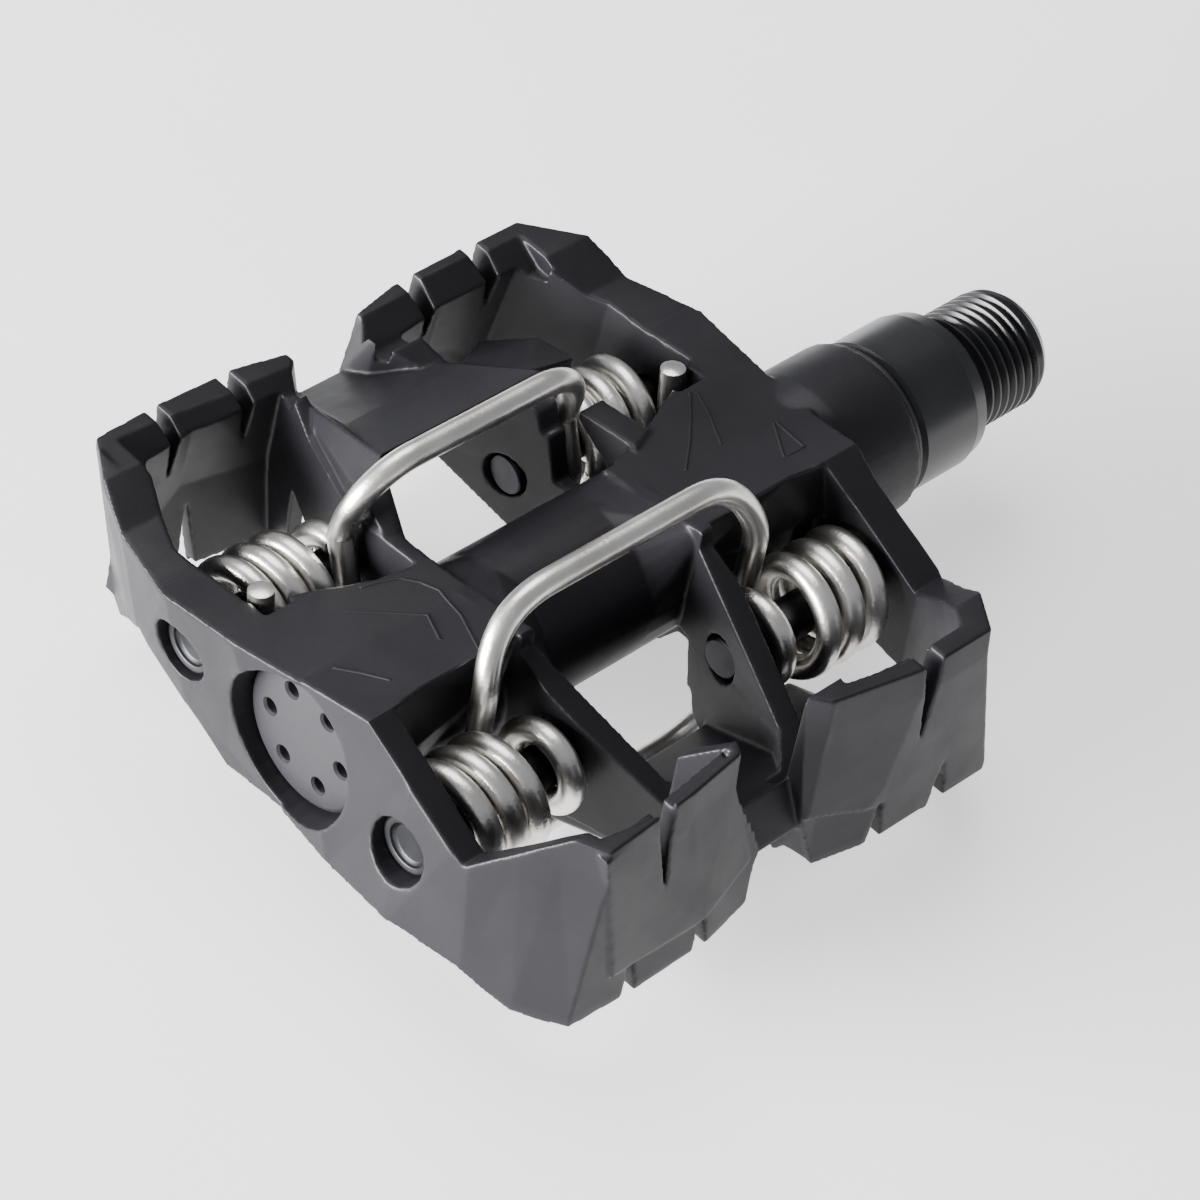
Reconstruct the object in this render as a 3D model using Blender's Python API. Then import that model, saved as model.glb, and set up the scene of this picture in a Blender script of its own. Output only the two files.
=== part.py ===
"""Double sided clipless pedal with sprung wire bails.

Frame: origin on the axle axis at the middle of the overall box, +X towards the
crank, +Y forward, +Z up, metres.  The body is unchanged by half a turn about X,
so every cut or lug is drawn once and repeated turned over.
"""
import math

import bmesh
import bpy
from mathutils import Vector

MM = 0.001
WELD_DIST = 0.000004

# Overall stations along the axle (mm).  x is drawn from the middle of the pedal as
# sold; everything is moved by BOX_CENTRE_X so the origin is the overall box's centre
BOX_CENTRE_X = -0.6
THREAD_END_X = 53.9
SHOULDER_X = 41.3
COLLAR_START_X = 30.2
GAP = 0.3

# Axle (mm)
THREAD_MAJOR_R = 7.144
THREAD_MINOR_R = 6.35
THREAD_PITCH = 1.27
THREAD_TURNS = 9
THREAD_START_X = 42.1
COLLAR_R = 9.3
COLLAR_EDGE = 0.8
RELIEF_R = 7.4
RELIEF_DEPTH = 0.3
SEAL_LAND_R = 7.2
SEAL_LAND_X = 25.0
JOURNAL_R = 5.0
BEARING_SEAT_R = 4.0
STUB_R = 3.0
AXLE_END_X = -48.0
HEX_ACROSS_FLATS = 8.0
HEX_DEPTH = 9.0
AXLE_SIDES = 28

# Body hub and bores (mm)
BOSS_R = 10.2
BOSS_END_X = 28.6
HUB_R = 9.1
HUB_STATIONS = ((-46.0, HUB_R), (14.5, HUB_R), (19.5, BOSS_R), (BOSS_END_X, BOSS_R))
SADDLE_SINK = 0.12
SEAL_BORE_R = 8.7
SEAL_BORE_X = 24.6
BUSH_OUTER_R = 6.6
BUSH_X = (6.0, 24.3)
BORE_R = 5.9
BEARING_OUTER_R = 7.5
BEARING_X = (-45.0, -40.0)
CAP_BORE_R = 8.5
CAP_FACE_X = -50.9
CAP_BACK_X = -48.9
CAP_HOLE_R = 0.75
CAP_HOLE_CIRCLE = 5.4
CAP_HOLES = 6
CAP_HOLE_DEPTH = 1.3
CAP_HOLE_SIDES = 10
HUB_SIDES = 28

# Spring pins (mm)
PIN_Y = 16.73
PIN_HEAD_R = 3.4
PIN_STEM_R = 2.4
PIN_BORE_R = 2.3
PIN_SIDES = 14

# Wire (mm); each sprung bail has a three turn coil at either end, wound on the pins
WIRE_R = 1.4
WIRE_SIDES = 8
COIL_R = 5.5
COIL_TURNS = 3
TURN_STEPS = 12
LEFT_COIL_X = (-38.0, -47.3)
RIGHT_COIL_X = (0.2, 10.7)
TANG_Y = -12.3
TANG_Z = -9.0
SPRUNG_BAR_Y = -9.0
SPRUNG_BAR_Z = 17.0
SPRUNG_LEAN_Z = 8.0
LEG_CLEARANCE = 0.6
EYE_R = 4.2
EYE_START = 155.0
EYE_SWEEP = 300.0
EYE_STEPS = 10
EYE_ADVANCE = 0.9
LEFT_EYE_X = -34.3
RIGHT_EYE_X = -2.8
FIXED_LEG_YZ = (15.0, 7.0)
FIXED_BAR_YZ = (13.0, 16.2)
BEND_R = 7.0
SPRUNG_BEND_R = 9.0
BEND_STEPS = 6
TANG_SLOTS_X = ((-49.0, -45.4), (8.9, 12.5))
TANG_SLOT_YZ = ((-9.4, 4.0), (-16.3, 4.0), (-16.3, -16.0), (-9.4, -16.0))

# Body side profile: top edge front to rear (y, z) in mm; the bottom edge is the
# same line turned half a turn about the axle
TOP_PROFILE = (
    (39.8, 10.8), (32.5, 10.3), (27.0, 8.0), (19.5, 7.7), (8.7, 8.7), (0.0, 9.5),
    (-9.2, 11.4), (-24.4, 4.1), (-33.0, 12.4), (-39.8, 12.5),
)

# Plan outline of the walls near the top face (x, y) in mm, outboard end to inboard
# end.  The bottom is the same outline turned over, so each wall face is twisted
PLAN_Z = 9.0
FRONT_PLAN = (
    (-53.0, 0.3), (-54.4, 8.7), (-55.3, 18.0), (-53.3, 27.5), (-51.2, 32.8), (-48.0, 37.9),
    (-41.0, 38.4), (-30.0, 38.6), (-21.3, 37.0), (-13.8, 37.1), (-6.9, 38.5), (11.6, 38.7),
    (16.8, 32.6), (18.2, 26.3), (21.1, 18.8), (18.8, 6.0),
)
REAR_PLAN = (
    (-52.7, -0.3), (-52.2, -9.2), (-52.2, -16.0), (-51.5, -24.0), (-49.3, -28.8), (-47.6, -32.2),
    (-45.3, -36.9), (-33.0, -36.0), (-26.0, -35.0), (-12.9, -35.6), (-2.3, -37.8), (7.5, -37.9),
    (10.9, -33.0), (13.4, -28.0), (15.0, -25.0), (17.2, -5.3),
)
TOP_Z = 13.5
CLEAR_Z = 20.0
LUG_START_Y = -30.0
LUG_DRAFT = 0.6

# Spaces cut through the walls for the coils (x, y) in mm near the top face; half way
# down, each wall is hollowed by WELL_BULGE so the coils have room
LEFT_WELL_REAR = (
    (-48.9, -9.1), (-32.1, -9.1), (-32.1, -14.0), (-31.3, -18.0),
    (-26.4, -33.6), (-38.0, -35.4), (-44.6, -34.2), (-45.6, -31.0), (-48.6, -25.0),
)
LEFT_WELL_FRONT = (
    (-49.4, 13.0), (-32.1, 5.4), (-32.1, 14.0), (-31.3, 18.0),
    (-26.4, 33.4), (-38.0, 33.6), (-44.8, 33.2), (-46.4, 30.6), (-50.2, 22.0),
)
RIGHT_WELL_REAR = (
    (11.4, -9.1), (-4.9, -9.1), (-4.9, -14.0), (-5.7, -18.0),
    (-10.4, -33.7), (-3.4, -35.2), (5.0, -35.0), (11.2, -25.0),
)
RIGHT_WELL_FRONT = (
    (14.4, 13.4), (-4.9, 4.6), (-4.9, 14.0), (-5.7, 18.0),
    (-9.8, 33.0), (-3.4, 33.6), (8.5, 33.6), (13.4, 24.5),
)
WELL_BULGE = 1.2
WELL_BULGE_Y = 30.0
WELL_BULGE_Z = 4.0

# Middle bay between the ribs (x, y) in mm, rear half
BAY_HUB_EDGE = ((-30.2, 0.0), (-30.2, -9.0))
BAY_INBOARD_EDGE = ((-11.4, -28.0), (-6.6, -9.0), (-6.6, 0.0))
BAY_REAR_TOP = BAY_HUB_EDGE + (
    (-24.9, -33.0), (-26.6, -36.0), (-26.6, -45.0), (-12.9, -45.0), (-12.9, -35.6),
    (-15.2, -32.8),
) + BAY_INBOARD_EDGE
BAY_REAR_LOW = BAY_HUB_EDGE + (
    (-24.9, -33.0), (-21.4, -36.0), (-21.4, -45.0), (-15.6, -45.0), (-15.6, -36.4),
    (-15.2, -32.4),
) + BAY_INBOARD_EDGE
BAY_REAR_FOOT = BAY_HUB_EDGE + (
    (-24.9, -33.0), (-23.4, -36.0), (-23.4, -45.0), (-12.4, -45.0), (-12.4, -36.4),
    (-14.6, -32.4),
) + BAY_INBOARD_EDGE
BAY_FOOT_Z = -12.0
BAY_LOW_Z = -3.0
BAY_TOP_Z = 12.5
# Ribs beside the bay (mm): inner face from hub to end, outer face start and lean
RIB_INNER = {"left": ((-30.2, 9.0), (-24.9, 33.0)), "right": ((-6.6, 9.0), (-11.4, 28.0))}
RIB_OUTER = {"left": (-32.1, 14.0, 0.22), "right": (-4.9, 14.0, -0.22)}
RIB_TOP = ((-9.6, 9.3), (-25.0, 2.6), (-28.6, 1.0))
RIB_END = ((-28.4, 1.1), (-33.0, -1.0))
RIB_END_X = (-16.6, -7.4)
RIB_SLOT_Y = (5.0, 10.9)
RIB_SLOT_Z = (2.7, 14.0)

# Guide plate under the fixed bail (mm): top edge points, then the web under each side
TONGUE_TOP = (
    (-22.2, 36.2, 3.9), (-13.0, 36.2, 3.9), (-8.6, 25.0, 9.9), (-25.4, 25.0, 9.9),
    (-27.6, 17.2, 13.0), (-5.0, 17.2, 13.0),
)
TONGUE_UNDER = (
    (-22.2, 33.4, -1.0), (-13.0, 33.4, -1.0), (-9.5, 25.0, 6.0), (-25.4, 25.0, 6.0),
    (-28.4, 16.9, 9.5), (-6.6, 16.9, 9.5),
)
LEFT_WEB = (
    (-25.0, 34.6, 7.6), (-26.3, 26.0, 10.3), (-27.8, 17.2, 12.7), (-24.0, 34.6, -3.4),
    (-25.8, 34.6, -3.4), (-31.4, 17.0, 3.0), (-32.1, 8.0, 3.0), (-32.1, 8.0, 6.8),
    (-31.6, 14.0, 10.2), (-30.4, 8.0, 3.0), (-30.4, 8.0, 6.8), (-28.8, 14.0, 11.2),
)
RIGHT_WEB = ((11.0, 2.7), (14.2, 10.7), (17.2, 12.0), (25.0, 8.8), (33.4, 4.5), (33.4, 1.0), (20.7, 0.4))
RIGHT_WING = (
    (-6.0, 18.6, 12.2), (1.7, 18.6, 10.3), (2.9, 25.0, 7.8), (-1.0, 30.0, 5.6), (-8.8, 25.4, 9.5),
    (-6.0, 18.6, 8.6), (1.7, 18.6, 8.0), (2.9, 25.0, 6.6), (-1.0, 30.0, 2.0), (-8.8, 25.4, 5.0),
)
COIL_SHELF = (
    (-2.6, 13.1, 9.0), (0.8, 13.0, 9.0), (1.6, 6.6, 9.2), (-1.8, 5.0, 9.4),
    (-2.6, 13.1, 7.9), (0.8, 13.0, 7.9), (1.6, 7.6, 3.0), (-1.8, 7.0, 3.0),
)
RIM_LEDGE = (
    (14.6, 29.6, 5.4), (16.6, 27.6, 4.6), (15.6, 22.6, 3.4), (15.2, 30.2, 2.0), (17.5, 27.6, -1.0),
    (16.5, 22.6, -1.0),
)

# Face panels of the rear lugs (mm), proud of the tread teeth that show below them
LUG_PANELS = (
    ((-46.0, -36.8, 11.8), (-27.0, -34.4, 11.8), (-22.9, -36.6, -3.4), (-30.6, -38.4, -5.6),
     (-43.4, -38.4, -5.4)),
    ((-13.1, -35.0, 11.8), (7.2, -37.4, 11.8), (8.6, -38.2, -7.4), (-7.0, -38.4, -4.7),
     (-15.4, -36.9, -2.2)),
)
PANEL_DEPTH = 1.6

# Tread notches (x centre, half width at the top, tip z) in mm
# Each notch is (x, half width at NOTCH_WIDTH_Z, z of its tip)
NOTCH_WIDTH_Z = 12.0
FRONT_NOTCHES = ((-40.4, 1.0, 1.5), (-30.7, 1.1, 1.5), (-5.1, 1.3, 3.5), (4.3, 1.4, 3.5))
REAR_NOTCHES = ((-37.0, 1.1, 2.0), (-0.8, 1.2, 1.0))

# Tops of the front tread teeth (x outboard, z, x inboard, z) and their inner bevel, mm
TOOTH_TOPS = (
    (-49.0, 10.3, -40.4, 10.1), (-40.4, 10.1, -30.7, 9.6), (-30.7, 9.8, -21.0, 9.4),
    (-14.5, 10.2, -5.1, 10.3), (-5.1, 10.6, 4.3, 10.6), (4.3, 10.4, 19.0, 10.3),
)
TOOTH_CUT_Y = (31.5, 43.0)
BEVEL_X = ((-46.4, -21.0), (-14.6, 10.2))
BEVEL_YZ = ((37.8, 11.0), (33.0, 8.0), (31.0, 8.0), (31.0, 12.0))

# Cartridge bearing (mm)
BALL_COUNT = 7
BALL_R = 0.8
BALL_CIRCLE_R = 6.0
BALL_X = -42.5
RACE_INNER_R = 5.3
RACE_OUTER_R = 6.7
GROOVE_ANGLES = (50.0, 25.0, 0.0, -25.0, -50.0)

# Small turned parts (mm)
BUSH_BORE_R = 5.3
SEAL_BODY_X = (24.9, 28.9)
SEAL_FLANGE_X = 29.9
SEAL_FLANGE_R = 9.7
WASHER_X = (-46.1, -45.3)
WASHER_R = (3.4, 5.0)
NUT_X = (-48.3, -46.4)
NUT_ACROSS_FLATS = 8.0
PIN_OUTER_X = -52.4
PIN_STEP_X = -48.3
PIN_INNER_X = -28.6
PIN_HOLLOW_X = -51.9
INBOARD_PIN_X = (-8.5, 15.0)


def clear_scene():
    for obj in list(bpy.data.objects):
        bpy.data.objects.remove(obj)


def make_material(name, colour, metallic, roughness):
    mat = bpy.data.materials.new(name)
    mat.use_nodes = True
    shader = mat.node_tree.nodes["Principled BSDF"]
    shader.inputs["Base Color"].default_value = (*colour, 1.0)
    shader.inputs["Metallic"].default_value = metallic
    shader.inputs["Roughness"].default_value = roughness
    return mat


def link_bmesh(name, bm, mat=None, smooth_angle=None):
    """Turn a bmesh drawn in mm into a scene object in metres."""
    bmesh.ops.remove_doubles(bm, verts=bm.verts, dist=0.001)
    bmesh.ops.recalc_face_normals(bm, faces=bm.faces)
    bmesh.ops.translate(bm, vec=(-BOX_CENTRE_X, 0.0, 0.0), verts=bm.verts)
    bmesh.ops.scale(bm, vec=(MM, MM, MM), verts=bm.verts)
    mesh = bpy.data.meshes.new(name)
    bm.to_mesh(mesh)
    bm.free()
    obj = bpy.data.objects.new(name, mesh)
    bpy.context.scene.collection.objects.link(obj)
    if mat is not None:
        mesh.materials.append(mat)
    if smooth_angle is not None:
        mesh.shade_smooth()
        mesh.set_sharp_from_angle(angle=math.radians(smooth_angle))
    return obj


def turned(points):
    """Half a turn about the axle."""
    return [(x, -y, -z) for x, y, z in points]


def add_loft(bm, rings):
    """Closed solid through rings of equal length, capped at both ends."""
    verts = [[bm.verts.new(p) for p in ring] for ring in rings]
    count = len(rings[0])
    for low, high in zip(verts, verts[1:]):
        for i in range(count):
            j = (i + 1) % count
            bm.faces.new((low[i], low[j], high[j], high[i]))
    for ring in (verts[0], verts[-1]):
        bm.faces.new(ring)
    bmesh.ops.triangulate(bm, faces=bm.faces)


def loft_object(name, rings):
    bm = bmesh.new()
    add_loft(bm, rings)
    return link_bmesh(name, bm)


def hull_object(name, points):
    bm = bmesh.new()
    for p in points:
        bm.verts.new(p)
    bmesh.ops.convex_hull(bm, input=bm.verts)
    return link_bmesh(name, bm)


def circle_yz(x, radius, sides, cy=0.0, cz=0.0):
    """Ring of points with a flat, not a corner, towards +Y."""
    angles = [math.tau * (i + 0.5) / sides for i in range(sides)]
    return [(x, cy + radius * math.cos(a), cz + radius * math.sin(a)) for a in angles]


def cylinder_object(name, x0, x1, radius, sides, cy=0.0):
    return loft_object(name, [circle_yz(x0, radius, sides, cy), circle_yz(x1, radius, sides, cy)])


def lathe(name, profile, sides, mat, smooth_angle=35, cy=0.0):
    """Turn a closed (x, r) outline about an axis parallel to X; r is always above zero."""
    bm = bmesh.new()
    count = len(profile)
    rings = []
    for k in range(sides):
        a = math.tau * k / sides
        rings.append([bm.verts.new((x, cy + r * math.cos(a), r * math.sin(a))) for x, r in profile])
    for k in range(sides):
        nxt = rings[(k + 1) % sides]
        for i in range(count):
            j = (i + 1) % count
            bm.faces.new((rings[k][i], rings[k][j], nxt[j], nxt[i]))
    return link_bmesh(name, bm, mat, smooth_angle)


def weld(mesh):
    """Merge the near-duplicate corners a boolean leaves behind."""
    bm = bmesh.new()
    bm.from_mesh(mesh)
    bmesh.ops.remove_doubles(bm, verts=bm.verts, dist=WELD_DIST)
    bmesh.ops.dissolve_degenerate(bm, edges=bm.edges, dist=WELD_DIST)
    bmesh.ops.triangulate(bm, faces=bm.faces)
    bm.to_mesh(mesh)
    bm.free()


def bake(obj, operation, tools):
    """Apply one exact boolean per tool and drop the tools."""
    for tool in tools:
        mod = obj.modifiers.new(tool.name, "BOOLEAN")
        mod.operation = operation
        mod.solver = "EXACT"
        mod.object = tool
        depsgraph = bpy.context.evaluated_depsgraph_get()
        mesh = bpy.data.meshes.new_from_object(obj.evaluated_get(depsgraph))
        obj.modifiers.clear()
        weld(mesh)
        obj.data = mesh
        bpy.data.objects.remove(tool)
    return obj


def wall_shell():
    """Outer block of the body: plan outlines lofted bottom to top, trimmed by the side profile."""
    def drafted(plan):
        return [(x, y + LUG_DRAFT if y < LUG_START_Y else y) for x, y in plan]

    upper = list(FRONT_PLAN) + list(reversed(REAR_PLAN))
    peak = list(FRONT_PLAN) + list(reversed(drafted(REAR_PLAN)))
    lower = [(x, -y) for x, y in REAR_PLAN] + [(x, -y) for x, y in reversed(FRONT_PLAN)]
    base = [(x, -y) for x, y in drafted(REAR_PLAN)] + [(x, -y) for x, y in reversed(FRONT_PLAN)]
    rings = [[(x, y, z) for x, y in plan]
             for plan, z in ((base, -TOP_Z), (lower, -PLAN_Z), (upper, PLAN_Z), (peak, TOP_Z))]
    shell = loft_object("shell", rings)
    outline = list(TOP_PROFILE) + [(-y, -z) for y, z in TOP_PROFILE]
    profile = loft_object("profile", [[(x, y, z) for y, z in outline] for x in (-62.0, 32.0)])
    return bake(shell, "INTERSECT", [profile])


def well_ring(outline, z, bulge=0.0):
    """Plan outline at one height, its outer side moved out by the bulge."""
    ring = []
    for x, y in outline:
        out = math.copysign(bulge, y) if abs(y) > WELL_BULGE_Y else 0.0
        ring.append((x, y + out, z))
    return ring


def well_cutters():
    """Coil spaces, front and rear at each end; each leans from top outline to bottom outline."""
    tools = []
    share = (TOP_Z + WELL_BULGE_Z) / (2.0 * TOP_Z)
    for name, rear, front in (("left", LEFT_WELL_REAR, LEFT_WELL_FRONT),
                              ("right", RIGHT_WELL_REAR, RIGHT_WELL_FRONT)):
        low = [(x, -y) for x, y in front]
        middle = [(a[0] + (b[0] - a[0]) * share, a[1] + (b[1] - a[1]) * share)
                  for a, b in zip(low, rear)]
        rings = [well_ring(low, -TOP_Z), well_ring(middle, WELL_BULGE_Z, WELL_BULGE),
                 well_ring(rear, TOP_Z)]
        tools.append(loft_object(name + "_rear", rings))
        tools.append(loft_object(name + "_front", [turned(r) for r in rings]))
    return tools


def bay_cutters():
    """Middle opening; the lug ends it leaves lean with height."""
    levels = ((BAY_REAR_FOOT, -CLEAR_Z), (BAY_REAR_FOOT, BAY_FOOT_Z), (BAY_REAR_LOW, BAY_LOW_Z),
              (BAY_REAR_TOP, BAY_TOP_Z), (BAY_REAR_TOP, CLEAR_Z))
    rings = [[(x, y, z) for x, y in plan] for plan, z in levels]
    return [loft_object("bay_rear", rings), loft_object("bay_front", [turned(r) for r in rings])]


def rib_faces(y, side):
    """Inner and outer x of a rib at a distance y from the axle."""
    (inner_x, inner_y), (far_x, far_y) = RIB_INNER[side]
    start_x, start_y, lean = RIB_OUTER[side]
    share = (max(y, inner_y) - inner_y) / (far_y - inner_y)
    return inner_x + (far_x - inner_x) * share, start_x + max(y - start_y, 0.0) * lean


def web_points(outline, side):
    points = []
    for y, z in outline:
        for x in rib_faces(y, side):
            points.append((x, y, z))
    return points


def panel_solids():
    """Thin slabs on the four lug faces; they hide the upper part of the tread notches."""
    slabs = []
    for outline in LUG_PANELS:
        points = list(outline) + [(x, y + PANEL_DEPTH, z) for x, y, z in outline]
        slabs.append(hull_object("panel_top", points))
        slabs.append(hull_object("panel_low", turned(points)))
    return slabs


def guide_solids(flip):
    """Sloping guide plate between the lugs, the webs that carry it, and the small lugs beside it."""
    left_edge = [p for p in TONGUE_TOP + TONGUE_UNDER if p[0] < -18.0]
    right_edge = [p for p in TONGUE_TOP + TONGUE_UNDER if p[0] > -18.0]
    groups = {
        "guide_plate": list(TONGUE_TOP + TONGUE_UNDER),
        "guide_left": list(LEFT_WEB) + left_edge,
        "guide_right": web_points(RIGHT_WEB, "right") + right_edge,
        "guide_wing": list(RIGHT_WING),
        "coil_shelf": list(COIL_SHELF),
        "rim_ledge": list(RIM_LEDGE),
    }
    place = turned if flip else list
    return [hull_object(name, place(points)) for name, points in groups.items()]


def slot_cutters():
    """Gap beside the hub for the inboard leg of each fixed bail."""
    ring = [(y, z) for y, z in ((RIB_SLOT_Y[0], RIB_SLOT_Z[0]), (RIB_SLOT_Y[1], RIB_SLOT_Z[0]),
                                (RIB_SLOT_Y[1] + 3.0, RIB_SLOT_Z[1]), (RIB_SLOT_Y[0], RIB_SLOT_Z[1]))]
    return both_sides("slot", [[(x, y, z) for y, z in ring] for x in (-9.5, -4.6)])


def rib_top_cutter(x0, x1, line):
    """Space above a rear rib, down to its sloping top edge."""
    outline = list(line) + [(line[-1][0], CLEAR_Z), (line[0][0], CLEAR_Z)]
    return [[(x, y, z) for y, z in outline] for x in (x0, x1)]


def notch_rings(x, half_width, tip_z, y0, y1):
    """Wedge pointing down between two tread teeth."""
    spread = half_width * (CLEAR_Z - tip_z) / (NOTCH_WIDTH_Z - tip_z)
    return [[(x - spread, y, CLEAR_Z), (x + spread, y, CLEAR_Z), (x, y, tip_z)] for y in (y0, y1)]


def both_sides(name, rings):
    """The same cutter on the top side and turned over on the bottom side."""
    low = [turned(r) for r in rings]
    return [loft_object(name + "_top", rings), loft_object(name + "_low", low)]


def saddle_solid(x_hub, x_wall, reach_front, reach_rear):
    """Flare from the round hub out to the flat plates."""
    square = [(reach_front, 9.7 - 0.21 * reach_front), (reach_rear, 11.3),
              (reach_rear, 4.0), (reach_front, 2.0)]
    far = [(x_wall, y, z) for y, z in square]
    return hull_object("saddle", circle_yz(x_hub, HUB_R - SADDLE_SINK, HUB_SIDES) + far + turned(far))


def body_solids():
    """Everything that is added to the walls once the coil spaces and bay are open."""
    return [
        loft_object("hub", [circle_yz(x, r, HUB_SIDES) for x, r in HUB_STATIONS]),
        saddle_solid(-25.5, -31.9, 5.0, -9.1),
        saddle_solid(-11.5, -5.1, 5.0, -9.1),
        ] + guide_solids(False) + guide_solids(True)


def tooth_cutters():
    """Space above each front tooth, and the bevel down to the coil space behind it."""
    shapes = []
    for x0, z0, x1, z1 in TOOTH_TOPS:
        shapes.append([[(x0, y, z0), (x1, y, z1), (x1, y, CLEAR_Z), (x0, y, CLEAR_Z)]
                       for y in TOOTH_CUT_Y])
    for x0, x1 in BEVEL_X:
        shapes.append([[(x, y, z) for y, z in BEVEL_YZ] for x in (x0, x1)])
    return [tool for rings in shapes for tool in both_sides("tooth", rings)]


def tang_cutters():
    """Notches that the outer ends of the sprung coils rest in."""
    tools = []
    for x0, x1 in TANG_SLOTS_X:
        tools += both_sides("tang", [[(x, y, z) for y, z in TANG_SLOT_YZ] for x in (x0, x1)])
    return tools


def body_cutters():
    tools = tooth_cutters() + tang_cutters() + [
        cylinder_object("bore", -50.0, 30.0, BORE_R, HUB_SIDES),
        cylinder_object("bush_bore", BUSH_X[0] - GAP, BUSH_X[1] + GAP, BUSH_OUTER_R + GAP, HUB_SIDES),
        cylinder_object("seal_bore", SEAL_BORE_X, 30.0, SEAL_BORE_R, HUB_SIDES),
        cylinder_object("bearing_bore", -50.0, BEARING_X[1] + GAP, BEARING_OUTER_R + GAP, HUB_SIDES),
        cylinder_object("cap_bore", -60.0, CAP_BACK_X + GAP, CAP_BORE_R + GAP, HUB_SIDES),
    ]
    for y in (PIN_Y, -PIN_Y):
        tools.append(cylinder_object("pin_head", -60.0, -48.0, PIN_HEAD_R + GAP, PIN_SIDES, y))
        tools.append(cylinder_object("pin_rib", -33.0, -27.0, PIN_STEM_R + GAP, PIN_SIDES, y))
        tools.append(cylinder_object("pin_rib", -11.0, -4.0, PIN_STEM_R + GAP, PIN_SIDES, y))
        tools.append(cylinder_object("pin_blind", 9.3, 15.0 + GAP, PIN_STEM_R + GAP, PIN_SIDES, y))
    for x, half_width, tip_z in FRONT_NOTCHES:
        tools += both_sides("notch", notch_rings(x, half_width, tip_z, 32.0, 42.0))
    tools += both_sides("rib", rib_top_cutter(-12.5, -4.7, RIB_TOP))
    tools += both_sides("rib", rib_top_cutter(-32.3, -24.0, RIB_TOP))
    tools += both_sides("rib_end", rib_top_cutter(*RIB_END_X, RIB_END))
    return tools


def panel_notch_cutters():
    tools = []
    for x, half_width, tip_z in REAR_NOTCHES:
        tools += both_sides("notch", notch_rings(x, half_width, tip_z, -42.0, -33.0))
    return tools


def build_body(mat):
    body = wall_shell()
    bake(body, "DIFFERENCE", well_cutters() + bay_cutters() + slot_cutters())
    bake(body, "UNION", body_solids())
    bake(body, "DIFFERENCE", body_cutters())
    bake(body, "UNION", panel_solids())
    bake(body, "DIFFERENCE", panel_notch_cutters())
    body.name = "pedal_body"
    body.data.materials.clear()
    body.data.materials.append(mat)
    body.data.shade_smooth()
    body.data.set_sharp_from_angle(angle=math.radians(25))
    return body


def turned_solid(name, stations, sides, mat, cy=0.0, smooth_angle=35):
    """Solid of revolution along X from (x, radius) stations, closed at both ends."""
    bm = bmesh.new()
    add_loft(bm, [circle_yz(x, r, sides, cy) for x, r in stations])
    return link_bmesh(name, bm, mat, smooth_angle)


def finish(obj, mat, smooth_angle=35):
    """Give a baked piece its material and shading back."""
    obj.data.materials.clear()
    obj.data.materials.append(mat)
    obj.data.shade_smooth()
    obj.data.set_sharp_from_angle(angle=math.radians(smooth_angle))
    return obj


def build_axle(mat):
    stations = [(AXLE_END_X, STUB_R), (BEARING_X[0], STUB_R), (BEARING_X[0], BEARING_SEAT_R),
                (BEARING_X[1] + GAP, BEARING_SEAT_R), (BEARING_X[1] + GAP, JOURNAL_R),
                (SEAL_LAND_X, JOURNAL_R), (SEAL_LAND_X, SEAL_LAND_R),
                (COLLAR_START_X, SEAL_LAND_R), (COLLAR_START_X, COLLAR_R - COLLAR_EDGE / 2),
                (COLLAR_START_X + COLLAR_EDGE, COLLAR_R), (SHOULDER_X - COLLAR_EDGE, COLLAR_R),
                (SHOULDER_X, COLLAR_R - COLLAR_EDGE), (SHOULDER_X, RELIEF_R),
                (SHOULDER_X - RELIEF_DEPTH, RELIEF_R), (SHOULDER_X - RELIEF_DEPTH, THREAD_MINOR_R)]
    for turn in range(THREAD_TURNS):
        start = THREAD_START_X + turn * THREAD_PITCH
        stations += [(start, THREAD_MINOR_R), (start + THREAD_PITCH / 2, THREAD_MAJOR_R)]
    stations += [(THREAD_END_X - 0.3, THREAD_MINOR_R), (THREAD_END_X, THREAD_MINOR_R - 0.3)]
    axle = turned_solid("axle", stations, AXLE_SIDES, mat)
    socket = cylinder_object("socket", THREAD_END_X - HEX_DEPTH, THREAD_END_X + 1.0,
                             HEX_ACROSS_FLATS / math.sqrt(3.0), 6)
    bake(axle, "DIFFERENCE", [socket])
    return finish(axle, mat)


def build_bush_and_seal(bush_mat, rubber):
    x0, x1 = BUSH_X
    lathe("inboard_bush", [(x0, BUSH_BORE_R), (x1, BUSH_BORE_R), (x1, BUSH_OUTER_R), (x0, BUSH_OUTER_R)],
          AXLE_SIDES, bush_mat)
    x0, x1 = SEAL_BODY_X
    inner = SEAL_LAND_R + GAP
    outer = SEAL_BORE_R - GAP
    lathe("dust_seal", [(x0, inner), (SEAL_FLANGE_X, inner), (SEAL_FLANGE_X, SEAL_FLANGE_R - GAP),
                        (SEAL_FLANGE_X - GAP, SEAL_FLANGE_R), (x1, SEAL_FLANGE_R),
                        (x1, outer), (x0, outer)], AXLE_SIDES, rubber)


def groove(direction):
    """Ball groove points, walked towards the inboard side; direction is -1 inside, 1 outside."""
    radius = BALL_R + GAP
    return [(BALL_X - radius * math.sin(math.radians(a)),
             BALL_CIRCLE_R + direction * radius * math.cos(math.radians(a))) for a in GROOVE_ANGLES]


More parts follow.
